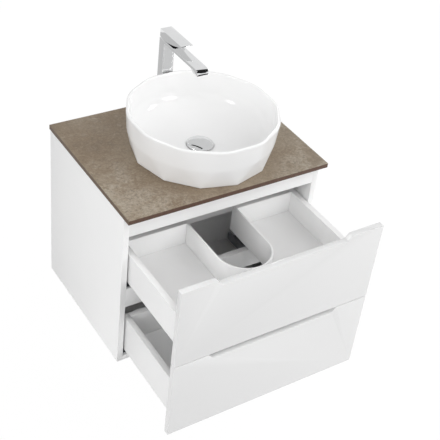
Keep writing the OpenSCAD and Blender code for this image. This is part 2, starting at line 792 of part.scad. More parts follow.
module lever_stem() color([0.8, 0.68, 0.36]) at_tap() difference() {
    union() {
        rod(stem_base_r, cartridge_top_z - stem_base_h, cartridge_top_z - 0.1);
        rod(stem_top_r, cartridge_top_z - stem_base_h, pin_z + 5);
    }
    translate([0, 0, pin_z]) rotate([0, 90, 0]) rod(pin_r + 0.05, -10, 10);
}

module lever_pin() color([0.8, 0.8, 0.82]) at_tap()
    translate([0, 0, pin_z]) rotate([0, 90, 0]) rod(pin_r, -pin_l / 2, pin_l / 2);

// Side outline of the lever: first axis towards the wall from the tap's axis, second up
module lever_outline() {
    back = column_d / 2 - 1.5;
    top = lever_low_z + lever_h;
    start = [-column_d / 2, lever_low_z];
    bend = [-lever_l * 0.55, lever_low_z + 3];
    tip = [-lever_l, top - lever_tip_t];
    polygon(concat(
        [[back, top], [-lever_l, top]],
        [for (t = [1:-0.0625:0]) (1 - t) ^ 2 * start + 2 * t * (1 - t) * bend + t ^ 2 * tip],
        [[1, lever_low_z], [back, lever_low_z + (back - 1) * tan(lever_lift) + 0.3]]
    ));
}

module lever() color([0.85, 0.86, 0.88]) at_tap() difference() {
    translate([-tap_w / 2, 0, 0]) rotate([90, 0, 90]) linear_extrude(tap_w) lever_outline();
    block([-pocket_w / 2, -pocket_d / 2, lever_low_z - 1], [pocket_w / 2, pocket_d / 2, pin_z + pocket_h]);
    translate([0, 0, pin_z]) rotate([0, 90, 0]) rod(pin_r + 0.02, -pin_l / 2 - 0.2, pin_l / 2 + 0.2);
}

worktop();
mirror([1, 0, 0]) side_panel();  // left_side_panel
side_panel();  // right_side_panel
bottom_panel();
top_front_rail();
middle_front_rail();
rear_hanging_rail();
rear_bottom_rail();
rear_ledge();
worktop_brackets();
bracket_screws();
mirror([1, 0, 0]) track(upper_box_z, upper_runner_l);  // upper_left_track
track(upper_box_z, upper_runner_l);  // upper_right_track
mirror([1, 0, 0]) track(lower_box_z, lower_runner_l);  // lower_left_track
track(lower_box_z, lower_runner_l);  // lower_right_track
basin();
waste_body();
waste_top_seal();
waste_under_seal();
waste_backnut();
trap_inlet_nut();
trap_inlet_pipe();
trap_bottle();
trap_cup();
trap_outlet_nut();
trap_outlet_pipe();
trap_wall_flange();
tap_body();
tap_base_plate();
tap_gasket();
tap_shank();
tap_washer();
tap_nut();
tap_aerator();
tap_cartridge();
tap_cartridge_nut();
upper_front();
mirror([1, 0, 0]) drawer_side(upper_box_z, upper_side_h, upper_back_y);  // upper_left_side
drawer_side(upper_box_z, upper_side_h, upper_back_y);  // upper_right_side
mirror([1, 0, 0]) upper_half_back();  // upper_left_back
upper_half_back();  // upper_right_back
upper_floor();
upper_bay_wall();
upper_slides();
front_dowels(upper_box_z, upper_side_h);  // upper_front_dowels
lower_front();
mirror([1, 0, 0]) drawer_side(lower_box_z, lower_side_h, lower_back_y);  // lower_left_side
drawer_side(lower_box_z, lower_side_h, lower_back_y);  // lower_right_side
lower_back();
lower_floor();
lower_slides();
front_dowels(lower_box_z, lower_side_h);  // lower_front_dowels
lever_stem();
lever();
lever_pin();
waste_plug();
plug_stem();
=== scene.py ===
# %% [markdown]
# # A wall-hung vanity with a vessel basin
#
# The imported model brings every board, runner, pipe and screw at its real size,
# already in place. This lesson dresses it: it adds softened edges to the boards,
# a smooth glazed basin, polished metal, stone, lacquer and melamine, and a plain
# studio. Everything is in metres: X runs to the right, Y towards the wall, Z up.

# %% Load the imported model
import json
import math

import bmesh
import bpy
import numpy as np
from mathutils import Matrix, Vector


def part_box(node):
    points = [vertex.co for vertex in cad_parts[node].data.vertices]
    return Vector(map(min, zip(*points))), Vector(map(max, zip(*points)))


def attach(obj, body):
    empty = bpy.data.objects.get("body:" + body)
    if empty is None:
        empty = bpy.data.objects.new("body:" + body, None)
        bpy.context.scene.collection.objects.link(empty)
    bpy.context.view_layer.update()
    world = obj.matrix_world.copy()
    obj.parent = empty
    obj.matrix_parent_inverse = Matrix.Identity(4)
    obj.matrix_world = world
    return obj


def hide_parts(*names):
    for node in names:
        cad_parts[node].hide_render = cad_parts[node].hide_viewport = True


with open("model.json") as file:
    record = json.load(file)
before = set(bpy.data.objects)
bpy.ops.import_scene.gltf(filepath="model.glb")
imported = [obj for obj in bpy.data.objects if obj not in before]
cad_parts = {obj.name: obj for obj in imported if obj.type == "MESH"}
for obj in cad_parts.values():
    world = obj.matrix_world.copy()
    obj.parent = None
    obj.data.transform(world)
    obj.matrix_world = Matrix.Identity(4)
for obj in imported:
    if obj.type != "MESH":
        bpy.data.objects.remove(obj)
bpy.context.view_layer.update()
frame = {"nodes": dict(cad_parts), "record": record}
nodes = frame["nodes"]
slot_of = {part["node"]: part["material_slot"] for part in frame["record"]["subparts"]}
MM = 0.001

# %% [markdown]
# ## Camera
#
# The vanity is looked at from above and from its left front, and the camera is
# rolled a little. A position, three angles and a focal length hold that view.
# The rotation is built from axes worked out one by one, because Euler angles of a
# rolled camera are hard to read.

# %% Camera
CAMERA_AT = np.array([-1.21093, -2.06516, 1.52000])
AZIMUTH, ELEVATION, ROLL = (math.radians(a) for a in (-36.28, 37.82, 7.22))
LENS_MM, SENSOR_MM = 80.22, 36.0


def camera_axes(azimuth, elevation, roll):
    """Right, down and forward of a camera: forward points back along the angles,
    right is forward crossed with Z, and both then turn about forward by the roll."""
    back = np.array(
        [
            math.sin(azimuth) * math.cos(elevation),
            -math.cos(azimuth) * math.cos(elevation),
            math.sin(elevation),
        ]
    )
    forward = -back
    right = np.cross(forward, [0.0, 0.0, 1.0])
    right /= np.linalg.norm(right)
    down = -np.cross(right, forward)
    c, s = math.cos(roll), math.sin(roll)
    return np.array([c * right - s * down, s * right + c * down, forward])


camera = bpy.data.objects.new("camera", bpy.data.cameras.new("camera"))
bpy.context.scene.collection.objects.link(camera)
camera.data.lens, camera.data.sensor_width = LENS_MM, SENSOR_MM
right, down, forward = camera_axes(AZIMUTH, ELEVATION, ROLL)
pose = np.eye(4)
pose[:3, :3] = np.column_stack([right, -down, -forward])
pose[:3, 3] = CAMERA_AT
camera.matrix_world = Matrix(pose.tolist())
bpy.context.scene.camera = camera
bpy.context.scene.view_settings.view_transform = "Standard"
print("camera at", CAMERA_AT, "lens", LENS_MM)

# %% [markdown]
# ## Writing materials as sums
#
# A node tree is easier to read as a sum than as boxes and wires. `Value` wraps
# one output socket, and +, - and * on it add Math nodes. `Graph` owns a tree, and
# its `node` method adds any node from its type, its settings and what goes into
# its sockets. `Finish` is the graph of one material.


# %% Shader helpers
def feed(tree, socket, given):
    """Puts a number, a colour or another node's output into a socket."""
    if isinstance(given, Value):
        tree.links.new(given.socket, socket)
    elif isinstance(given, (tuple, list)) and len(given) == 3 and socket.type == "RGBA":
        socket.default_value = (*given, 1.0)
    else:
        socket.default_value = given


class Value:
    """One output socket. Arithmetic on it adds Math nodes to its graph."""

    def __init__(self, graph, socket):
        self.graph, self.socket = graph, socket

    def math(self, operation, first, second):
        inputs = {0: first, 1: second}
        return self.graph.node("ShaderNodeMath", {"operation": operation}, inputs)

    def __add__(self, other):
        return self.math("ADD", self, other)

    def __sub__(self, other):
        return self.math("SUBTRACT", self, other)

    def __rsub__(self, other):
        return self.math("SUBTRACT", other, self)

    def __mul__(self, other):
        return self.math("MULTIPLY", self, other)

    __radd__, __rmul__ = __add__, __mul__

    def power(self, exponent):
        return self.math("POWER", self, exponent)

    def larger(self, other):
        """The larger of two values."""
        return self.math("MAXIMUM", self, other)

    def below(self, limit, softness):
        """1 where the value is under the limit, 0 over it, with a soft step."""
        inputs = {0: self, 1: limit - softness, 2: limit + softness, 3: 1.0, 4: 0.0}
        settings = {"interpolation_type": "SMOOTHSTEP"}
        return self.graph.node("ShaderNodeMapRange", settings, inputs)

    def above(self, limit, softness):
        """1 where the value is over the limit, 0 under it, with a soft step."""
        return 1.0 - self.below(limit, softness)


class Graph:
    """A node tree, the coordinates that it reads and one method for its nodes."""

    def __init__(self, tree, coordinates):
        self.tree = tree
        self.place = self.node("ShaderNodeTexCoord", output=coordinates)

    def node(self, kind, settings=None, inputs=None, output=0):
        """Adds a node of any type and returns one of its outputs."""
        made = self.tree.nodes.new(kind)
        for key, value in (settings or {}).items():
            setattr(made, key, value)
        for key, given in (inputs or {}).items():
            feed(self.tree, made.inputs[key], given)
        return Value(self, made.outputs[output])

    def axis(self, letter):
        """One coordinate: X, Y or Z."""
        return self.node("ShaderNodeSeparateXYZ", None, {0: self.place}, output=letter)

    def ray(self, *kinds):
        """1 for light paths of any of the kinds, such as Camera, else 0."""
        found = [
            self.node("ShaderNodeLightPath", output=f"Is {kind} Ray") for kind in kinds
        ]
        total = found[0]
        for other in found[1:]:
            total = total.larger(other)
        return total

    def mix(self, factor, first, second):
        """A colour between two colours: sockets 0, 6 and 7 of a Mix node are its
        factor and its two colours, and output 2 is the mixed colour."""
        inputs = {0: factor, 6: first, 7: second}
        return self.node("ShaderNodeMix", {"data_type": "RGBA"}, inputs, output=2)


class Finish(Graph):
    """One material: a Principled shader and the patterns that feed it."""

    def __init__(self, name, **sockets):
        self.material = bpy.data.materials.new(name)
        self.material.use_nodes = True
        super().__init__(self.material.node_tree, "Object")
        self.shader = self.tree.nodes["Principled BSDF"]
        self.set(**sockets)

    def set(self, **sockets):
        """Fills the shader's sockets; base_color stands for Base Color."""
        for name, given in sockets.items():
            title = name.replace("_", " ").title().replace("Ior", "IOR")
            feed(self.tree, self.shader.inputs[title], given)

    def noise(self, scale, detail=3.0, roughness=0.5, distortion=0.0, stretch=None):
        """Fractal noise on the object's own coordinates, in cells per metre."""
        where = self.place
        if stretch:
            inputs = {"Vector": where, "Scale": stretch}
            where = self.node("ShaderNodeMapping", None, inputs)
        inputs = {
            "Vector": where,
            "Scale": scale,
            "Detail": detail,
            "Roughness": roughness,
            "Distortion": distortion,
        }
        return self.node("ShaderNodeTexNoise", None, inputs)

    def bump(self, height, distance):
        """Raises the surface by the height times the distance, in metres."""
        inputs = {"Height": height, "Distance": distance}
        self.set(normal=self.node("ShaderNodeBump", None, inputs))


finishes = {}
print("helpers ready, finishes so far:", len(finishes))

# %% [markdown]
# ## Melamine board and lacquered fronts
#
# The carcass and the drawer boxes are chipboard under a white melamine foil,
# pressed on a plate with a fine grain: a satin sheen that breaks up slightly.
# The two fronts are lacquered, so they are glossier, with the faint slow waves
# that sprayed lacquer keeps. Their white is set darker than the foil's, as painted
# shade, since the fronts take more of the light. Both are nearly one colour, so
# what sells them is the small bump and a sheen that isn't even.


# %% White board and gloss front
def melamine():
    """Satin white foil: pressed grain of about 1 mm and slow tone changes."""
    finish = Finish("melamine")
    grain = finish.noise(900.0, detail=2.0, roughness=0.6)
    cloud = finish.noise(7.0, detail=2.0)
    finish.set(
        base_color=finish.mix(cloud, (0.905, 0.905, 0.905), (0.935, 0.935, 0.932)),
        roughness=0.36 + grain * 0.10,
    )
    finish.bump(grain, 0.04 * MM)
    return finish.material


def lacquer():
    """Glossy white lacquer: slow waves under a clear gloss."""
    finish = Finish("lacquer", coat_weight=0.35, coat_roughness=0.08)
    wave = finish.noise(45.0, detail=2.0, roughness=0.4)
    cloud = finish.noise(4.0, detail=2.0)
    finish.set(
        # Painted shade: this white is darker than the melamine's, so that the fronts,
        # which take more of the light, come out about as bright as the carcass.
        base_color=finish.mix(cloud, (0.77, 0.77, 0.77), (0.79, 0.79, 0.79)),
        roughness=0.18 + cloud * 0.08,
    )
    finish.bump(wave, 0.06 * MM)
    return finish.material


finishes["white_board"] = melamine()
finishes["front_gloss"] = lacquer()
print("boards:", *finishes)

# %% [markdown]
# ## Stone-look worktop
#
# The slab is brown-grey with soft clouds: pale dusty patches, darker stains and
# a fine speckle, which is stronger where the dust lies. There is more dust towards
# the front. Round the bowl the dust is left out, so the stone there stays dark:
# that is painted shade, where the basin shades the stone. Noises at six scales are
# layered, each with its own mask. The cut edge is a dark brown band, picked out
# by height: whatever lies under the top face is edge.

# %% Worktop
EDGE_BAND = 0.9 * MM
DUST_PER_METRE, DUST_OFFSET = -0.34, -0.075
# Painted shade: within this square distance of the bowl the dust is left out, with a
# soft fade.
PAINTED_SHADE_ROUND_BOWL, PAINTED_SHADE_FADE = 0.050, 0.016  # in square metres


def stone(low, top, bowl):
    """Clouds of brown and grey on the top face: each layer lays its colour over the
    ones before it by the share that its mask gives. Below the face lies the edge."""
    finish = Finish("stone")
    broad = finish.noise(5.0, detail=4.0, roughness=0.6, distortion=0.5)
    cloud = finish.noise(13.0, detail=6.0, roughness=0.66, distortion=0.4)
    patch = finish.noise(42.0, detail=6.0, roughness=0.74, distortion=0.6)
    grit = finish.noise(150.0, detail=5.0, roughness=0.76)
    grain = finish.noise(430.0, roughness=0.6)
    scratch = finish.noise(
        60.0, detail=6.0, roughness=0.75, distortion=1.2, stretch=(1.0, 3.5, 1.0)
    )

    nearer = finish.axis("Y") * DUST_PER_METRE + DUST_OFFSET
    aside, ahead = finish.axis("X") - bowl.x, finish.axis("Y") - bowl.y
    # Painted shade: near the bowl the dust is left out, so the stone stays dark where
    # the basin shades it.
    outside_painted_shade = (aside * aside + ahead * ahead).above(PAINTED_SHADE_ROUND_BOWL, PAINTED_SHADE_FADE)
    dust_and_painted_shade = (cloud + nearer).above(0.52, 0.07) * patch.above(0.46, 0.09) * outside_painted_shade

    ground = (0.220, 0.162, 0.104), (0.280, 0.226, 0.162)
    tone = finish.mix(broad.above(0.5, 0.16), *ground)
    layers = [
        (dust_and_painted_shade * 0.42, (0.39, 0.35, 0.29)),  # pale dust
        (cloud.below(0.42, 0.07) * 0.35, (0.150, 0.112, 0.078)),  # wide stains
        (patch.below(0.44, 0.06) * 0.20, (0.145, 0.105, 0.070)),  # small stains
        # pale and dark grit, stronger where the dust lies
        (grit.above(0.57, 0.06) * (0.14 + dust_and_painted_shade * 0.20), (0.50, 0.45, 0.37)),
        (grit.below(0.43, 0.05) * (0.24 + dust_and_painted_shade * 0.30), (0.095, 0.072, 0.050)),
        (grain.above(0.60, 0.05) * 0.18, (0.42, 0.36, 0.28)),  # pale specks
        (scratch.above(0.66, 0.03) * 0.30, (0.50, 0.45, 0.38)),  # thin marks
    ]
    for share, colour in layers:
        tone = finish.mix(share, tone, colour)

    edge = finish.axis("Z").below(top - EDGE_BAND, 0.2 * MM)
    end = finish.axis("X").below(low.x + 0.5 * MM, 0.3 * MM)
    browns = (0.078, 0.039, 0.025), (0.128, 0.070, 0.047)
    rind = finish.mix(finish.noise(120.0, roughness=0.6), *browns)
    rind = finish.mix(end * 0.6, rind, (0.150, 0.112, 0.074))
    finish.set(
        base_color=finish.mix(edge, tone, rind),
        roughness=0.42 + cloud * 0.22,
    )
    finish.bump(grit + cloud, 0.12 * MM)
    return finish.material


worktop_low, (_, _, worktop_top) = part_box("worktop")
basin_low, basin_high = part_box("basin")
basin_middle = (basin_low + basin_high) / 2
finishes["worktop_stone"] = stone(worktop_low, worktop_top, basin_middle)
print("stone's top face at", round(worktop_top, 4))

# %% [markdown]
# ## Glaze, chrome and the plain metals
#
# Glaze is a clear glossy skin on white clay, so the colour lies under a coat.
# The foot that stands on the worktop is left unglazed. Chrome is a mirror, whose
# look comes from what stands round it; a faint haze keeps it from looking
# computed. Brass nuts, zinc-plated steel and screws are rougher metals with
# brushed or crystalline marks.

# %% Glaze and metals
GLAZE_COAT = 0.7


def glaze(foot):
    """White glaze with slow waves, and bare clay under the foot's level."""
    finish = Finish("glaze", specular_ior_level=0.0, coat_roughness=0.03)
    wave = finish.noise(22.0, detail=2.0, roughness=0.4)
    cloud = finish.noise(5.0, detail=2.0)
    bare = finish.axis("Z").below(foot + 0.4 * MM, 0.3 * MM)
    white = finish.mix(cloud, (0.845, 0.845, 0.844), (0.875, 0.875, 0.874))
    finish.set(
        base_color=finish.mix(bare, white, (0.72, 0.69, 0.64)),
        roughness=0.08 + cloud * 0.05 + bare * 0.7,
        coat_weight=(1.0 - bare) * GLAZE_COAT,
    )
    finish.bump(wave, 0.10 * MM)
    return finish.material


def polished(name, colour, smooth, haze):
    """A mirror-bright metal with a faint haze that comes and goes."""
    finish = Finish(name, metallic=1.0)
    smear = finish.noise(55.0, detail=4.0, roughness=0.6)
    tint = tuple(c * 0.94 for c in colour)
    finish.set(
        base_color=finish.mix(smear, tint, colour),
        roughness=smooth + smear * haze,
    )
    return finish.material


def brushed(name, colour, stretch):
    """Metal with fine marks along one direction."""
    finish = Finish(name, metallic=1.0)
    marks = finish.noise(420.0, roughness=0.7, stretch=stretch)
    stain = finish.noise(30.0)
    tint = tuple(c * 0.78 for c in colour)
    finish.set(
        base_color=finish.mix(marks * 0.6 + stain * 0.4, tint, colour),
        roughness=0.24 + marks * 0.22,
    )
    finish.bump(marks, 0.03 * MM)
    return finish.material


BRUSHED = {  # colour, stretch of the marks
    "brass": ((0.78, 0.58, 0.26), (1.0, 1.0, 0.2)),
    "zinc_steel": ((0.46, 0.47, 0.49), (1.0, 0.08, 1.0)),
    "screw_steel": ((0.70, 0.71, 0.73), (1.0, 1.0, 1.0)),
}
finishes["glaze"] = glaze(basin_low.z)
finishes["chrome"] = polished("chrome", (0.80, 0.805, 0.81), smooth=0.03, haze=0.05)
for name, (colour, stretch) in BRUSHED.items():
    finishes[name] = brushed(name, colour, stretch)
print("metals and glaze:", len(finishes), "finishes")

# %% [markdown]
# ## Rubber, plastic and beech
#
# These are seen from behind and below. Moulded plastic has a fine spark-eroded
# grain, rubber a duller one, and a beech dowel has fluted grain along itself.


# %% Rubber, plastic and wood
def moulded(name, colour, rough, grain_scale, depth):
    """Moulded polymer: one colour, a fine grain and slight handling marks."""
    finish = Finish(name)
    grain = finish.noise(grain_scale, detail=2.0, roughness=0.6)
    mark = finish.noise(24.0, detail=4.0, roughness=0.6)
    shade = tuple(c * 0.86 for c in colour)
    finish.set(
        base_color=finish.mix(mark, shade, colour),
        roughness=rough - 0.08 + mark * 0.16,
    )
    finish.bump(grain, depth)
    return finish.material


def beech():
    """Pale wood with grain drawn out along the dowel."""
    finish = Finish("beech", roughness=0.6)
    grain = finish.noise(500.0, detail=4.0, roughness=0.6, stretch=(1.0, 0.06, 1.0))
    finish.set(base_color=finish.mix(grain, (0.52, 0.34, 0.17), (0.72, 0.55, 0.34)))
    finish.bump(grain, 0.08 * MM)
    return finish.material


MOULDED = {  # colour, roughness, grain in cells per metre, its depth
    "trap_plastic": ((0.86, 0.86, 0.85), 0.34, 700.0, 0.03 * MM),
    "aerator_plastic": ((0.42, 0.43, 0.45), 0.5, 900.0, 0.02 * MM),
    "seal_rubber": ((0.035, 0.035, 0.036), 0.7, 500.0, 0.05 * MM),
}
for name, look in MOULDED.items():
    finishes[name] = moulded(name, *look)
finishes["beech"] = beech()
missing = {slot_of[n] for n in nodes} - set(finishes)
print("finishes:", len(finishes), "slots without one:", missing or "none")

# %% [markdown]
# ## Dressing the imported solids
#
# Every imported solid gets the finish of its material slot. Their shapes are
# right, and most are seen only through a gap, so they stay as they are. What is
# seen close up is replaced below, one piece at a time.

# %% Finishes on the solids
for name, solid in nodes.items():
    solid.data.materials.clear()
    solid.data.materials.append(finishes[slot_of[name]])
print("dressed", len(nodes), "solids")

# %% [markdown]
# ## Softened edges
#
# No board or casting has a knife edge: foil and lacquer turn over about half a
# millimetre, and that small turn is what catches the light. A copy of a solid's
# mesh is welded, its flat faces are joined again, and a Bevel modifier rounds
# every edge that turns by more than 30 degrees. The copy then stands for the
# solid.

# %% Soften
SHARP, FLAT = math.radians(30.0), math.radians(0.4)
WELD = 0.002 * MM
bodies_of = frame["record"]["behaviour"]["bodies"]


def add_piece(name, mesh, body, slot, replaced):
    """Puts a mesh into the scene as a piece that rides on a body, has the finish
    of its slot and stands for a solid."""
    piece = bpy.data.objects.new(name, mesh)
    bpy.context.scene.collection.objects.link(piece)
    mesh.materials.append(finishes[slot])
    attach(piece, body)
    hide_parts(replaced)
    return piece


def welded(node):
    """A copy of a solid's mesh with its doubles merged and its flats joined."""
    mesh = nodes[node].data.copy()
    shape = bmesh.new()
    shape.from_mesh(mesh)
    bmesh.ops.remove_doubles(shape, verts=shape.verts, dist=WELD)
    bmesh.ops.dissolve_limit(
        shape, angle_limit=FLAT, verts=shape.verts, edges=shape.edges
    )
    for face in shape.faces:
        face.smooth = True
    shape.to_mesh(mesh)
    shape.free()
    mesh.materials.clear()
    return mesh


def soften(node, radius):
    """Replaces a solid by a copy whose edges are rounded to a radius in mm."""
    body = next(b for b, names in bodies_of.items() if node in names)
    piece = add_piece(node + "_soft", welded(node), body, slot_of[node], node)
    bevel = piece.modifiers.new("edge", "BEVEL")
    bevel.width, bevel.segments = radius * MM, 2
    bevel.limit_method, bevel.angle_limit = "ANGLE", SHARP
    bevel.harden_normals = True


EDGES_MM = {
    "worktop": 0.7,
    "left_side_panel": 0.6,
    "right_side_panel": 0.6,
    "bottom_panel": 0.6,
    "top_front_rail": 0.6,
    "middle_front_rail": 0.6,
    "rear_hanging_rail": 0.6,
    "rear_bottom_rail": 0.6,
    "rear_ledge": 0.6,
    "upper_front": 1.0,
    "lower_front": 1.0,
    "upper_left_side": 0.6,
    "upper_right_side": 0.6,
    "upper_left_back": 0.6,
    "upper_right_back": 0.6,
    "upper_floor": 0.5,
    "upper_bay_wall": 1.2,
    "lower_left_side": 0.6,
    "lower_right_side": 0.6,
    "lower_back": 0.6,
    "lower_floor": 0.5,
    "tap_body": 0.8,
    "lever": 0.6,
    "tap_base_plate": 0.8,
}
for node, radius in EDGES_MM.items():
    soften(node, radius)
print("softened", len(EDGES_MM), "pieces")

# %% [markdown]
# ## The basin
#
# The basin stands on a twelve-sided foot and ends in a twelve-sided rim, turned
# by half a side, and it is round halfway up. So flat triangles rise from the
# foot and others hang from the rim. Adding outlines gives all of this in one
# formula: a level's outline is some of the foot's polygon, plus some of a
# circle, plus some of the rim's polygon. Where one share is nought, the polygon's
# sides shrink to a point, which is the tip of a triangle. The circle's share also
# rounds every corner, as a plaster mould would.

# %% Surface helpers
SIDES = 12
STEP = 2.0 * math.pi / SIDES
DOUBLE = 0.01 * MM


def grid_mesh(name, points, ring_closed=True):
    """A mesh from a grid of points: each row is a closed ring, joined to the
    next one, and the last row joins the first if ring_closed is set."""
    rows, columns = points.shape[:2]
    number = np.arange(rows * columns).reshape(rows, columns)
    below = np.roll(number, -1, axis=0)
    if not ring_closed:
        number, below = number[:-1], below[:-1]
    corners = [number, np.roll(number, -1, 1), np.roll(below, -1, 1), below]
    faces = np.stack(corners, -1).reshape(-1, 4)
    mesh = bpy.data.meshes.new(name)
    mesh.from_pydata(points.reshape(-1, 3).tolist(), [], faces.tolist())
    shape = bmesh.new()
    shape.from_mesh(mesh)
    bmesh.ops.remove_doubles(shape, verts=shape.verts, dist=DOUBLE)
    bmesh.ops.recalc_face_normals(shape, faces=shape.faces)
    for face in shape.faces:
        face.smooth = True
    shape.to_mesh(mesh)
    shape.free()
    return mesh


def unit_outlines(per_arc, per_side):
    """Three outlines of size 1 that share their columns: the foot's polygon with
    corners at whole steps, a circle, and the rim's polygon with corners half a
    step on. Along an arc the circle turns and both corners stand still; along a
    side only that side's polygon moves, from one corner to the next."""
    arc = np.linspace(0.0, 0.5, per_arc, endpoint=False)
    side = np.linspace(0.0, 1.0, per_side, endpoint=False)
    still = np.zeros_like
    turn = np.concatenate([arc, still(side) + 0.5, arc + 0.5, still(side) + 1.0])
    foot = np.concatenate([still(arc), side, still(arc) + 1.0, still(side) + 1.0])
    rim = np.concatenate([still(arc), still(side), still(arc), side])
    sector = np.arange(SIDES)[:, None]

    def corner(number, offset):
        """A point on a polygon's side: the mix of its two nearest corners."""
        low, share = np.floor(number), number - np.floor(number)
        a, b = (low + offset) * STEP, (low + offset + 1.0) * STEP
        flat = (1.0 - share)[..., None]
        ends = [np.stack([np.cos(t), np.sin(t)], -1) for t in (a, b)]
        return flat * ends[0] + (1.0 - flat) * ends[1]

    angle = ((sector + turn) * STEP).ravel()
    return (
        corner((sector + foot).ravel(), 0.0),
        np.stack([np.cos(angle), np.sin(angle)], -1),
        corner((sector + rim).ravel(), 0.5),
    )


def soft_ramp(x, width):
    """x where it is positive and 0 where it isn't, with a parabola between."""
    parabola = (x + width) ** 2 / (4 * width)
    return np.where(x > width, x, np.where(x < -width, 0.0, parabola))


outlines = np.stack(unit_outlines(per_arc=5, per_side=6))
print("columns round the basin:", outlines.shape[1])

# %% [markdown]
# The basin's section is a list of levels, each with its three shares and its
# height in millimetres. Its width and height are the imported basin's own. A share
# fades in or out along a soft ramp, so that the tip of a facet has no crease.

# %% Basin sizes and shares
centre = np.add(basin_low, basin_high)[:2] / 2
HEIGHT = (basin_high.z - basin_low.z) / MM
HALF = (basin_high.x - basin_low.x) / 2 / MM
FOOT_ROUND, RIM_ROUND = 8.0, 112.0
RIM_R = (HALF - RIM_ROUND) / math.cos(STEP / 2) + RIM_ROUND
FOOT_R, WAIST_R, WAIST_Z = 187.0, 198.0, 60.0
WALL, BOWL_Z = 9.0, 72.0
SOFT_OUTSIDE, SOFT_INSIDE = 0.10, 0.12


def outside_levels(z):
    """Shares up the wall: the foot's falls to nought at the waist, the rim's rises
    from there, and the circle makes up the rest."""
    foot = soft_ramp((WAIST_Z - z) / WAIST_Z, SOFT_OUTSIDE)
    rim = soft_ramp((z - WAIST_Z) / (HEIGHT - WAIST_Z), SOFT_OUTSIDE)
    circle = WAIST_R * (1.0 - foot - rim) + FOOT_ROUND * foot + RIM_ROUND * rim
    shares = [(FOOT_R - FOOT_ROUND) * foot, circle, (RIM_R - RIM_ROUND) * rim]
    return np.stack([*shares, z], 1)


def inside_levels(z):
    """Shares down the upper bowl: a wall's thickness in from the rim, round below."""
    rim = soft_ramp((z - BOWL_Z) / (HEIGHT - BOWL_Z), SOFT_INSIDE)
    circle = (WAIST_R - WALL) * (1.0 - rim) + (RIM_ROUND - WALL) * rim
    return np.stack([0 * z, circle, (RIM_R - RIM_ROUND) * rim, z], 1)


def round_levels(radius, z):
    """Levels that are plain circles."""
    radius, z = np.broadcast_arrays(np.asarray(radius, float), np.asarray(z, float))
    return np.stack([0 * radius, radius, 0 * radius, z], 1)


print("rim radius mm:", round(RIM_R, 1), "height mm:", round(HEIGHT, 1))

# %% [markdown]
# The first levels climb the wall from the foot's rounded edge and go over the
# rim, which is half an ellipse between the two walls. Below the rim the bowl is
# a quarter of an ellipse that runs out into the floor.

# %% Wall, rim and bowl
FOOT_EDGE, RIM_ROLL, OVERLAP = 1.2, 4.2, 3.0
FLOOR_R, FLOOR_Z = 70.0, 10.0
RINGS_UP, RINGS_OVER, RINGS_IN, RINGS_DOWN = 34, 11, 12, 22
BOWL_START = math.radians(88.0)
rim_low, bowl_top = HEIGHT - RIM_ROLL, BOWL_Z - OVERLAP

outside = outside_levels(np.linspace(FOOT_EDGE, rim_low, RINGS_UP))
inside = inside_levels(np.linspace(rim_low, bowl_top, RINGS_IN))
over = np.linspace(0.0, math.pi, RINGS_OVER)[1:-1]
share = ((1.0 - np.cos(over)) / 2)[:, None]
rim = outside[-1] * (1.0 - share) + inside[0] * share
rim[:, 3] = rim_low + (HEIGHT - rim_low) * np.sin(over)
down = np.linspace(BOWL_START, 0.0, RINGS_DOWN)[1:]
bowl = round_levels(
    FLOOR_R + (WAIST_R - WALL - FLOOR_R) * np.sin(down),
    bowl_top - (bowl_top - FLOOR_Z) * np.cos(down),
)
print("levels up, over and down:", len(outside), len(rim), len(inside) + len(bowl))

# %% [markdown]
# The plug lies in a recess: a rounded lip, a rounded step and a hole. The
# underside runs from the hole back to the foot, where it pulls in by the height
# of the foot's rounded edge.

# %% Recess, hole and underside
RECESS_R, RECESS_Z, HOLE_R, HOLE_LOW = 37.5, 7.0, 22.4, 3.0
LIP, STEP_IN = 1.6, 1.2
RINGS_BEND, RINGS_UNDER = 5, 7

bend = np.linspace(0.0, math.pi / 2, RINGS_BEND)
lip = round_levels(
    RECESS_R + LIP - LIP * np.sin(bend),
    FLOOR_Z - LIP + LIP * np.cos(bend),
)
step = round_levels(
    RECESS_R - STEP_IN + STEP_IN * np.cos(bend),
    RECESS_Z + STEP_IN - STEP_IN * np.sin(bend),
)
hole = round_levels(
    HOLE_R + np.array([6.0, 1.0, 0.3, 0.0, 0.0, 0.0]),
    [RECESS_Z, RECESS_Z, RECESS_Z - 0.3, RECESS_Z - 1.0, HOLE_LOW, 0.0],
)
hole_end, foot_end = round_levels([HOLE_R], 0.0), outside_levels(np.array([0.0]))
along = np.linspace(0.15, 1.0, RINGS_UNDER)[:, None]
under = hole_end + along * (foot_end - hole_end)
under[:, 1] -= FOOT_EDGE * np.linspace(0.0, 1.0, RINGS_UNDER)
levels = np.concatenate([under, outside, rim, inside, bowl, lip, step, hole])
print("levels in all:", len(levels))

# %% [markdown]
# Every level's shares times the three outlines give that level's ring, for all
# levels at once. The last ring joins the first, so the surface is closed.


# %% Basin
def basin_surface(levels):
    """Each level's ring is foot share x foot outline + circle share x circle +
    rim share x rim outline, lifted to its height over the worktop."""
    flat = np.einsum("lk,kcd->lcd", levels[:, :3], outlines) * MM
    height = np.broadcast_to(levels[:, 3, None, None] * MM, (*flat.shape[:2], 1))
    return np.concatenate([flat, height], -1) + np.array([*centre, basin_low.z])


basin_mesh = grid_mesh("glazed_basin", basin_surface(levels))
add_piece("glazed_basin", basin_mesh, "cabinet", "glaze", "basin")
print("basin faces:", len(basin_mesh.polygons))

# %% [markdown]
# ## The plug
#
# The push plug is a low chrome dome that almost fills its recess. A profile is
# carried round an axis: the dome is a shallow parabola, and its edge turns under
# with a small circle.


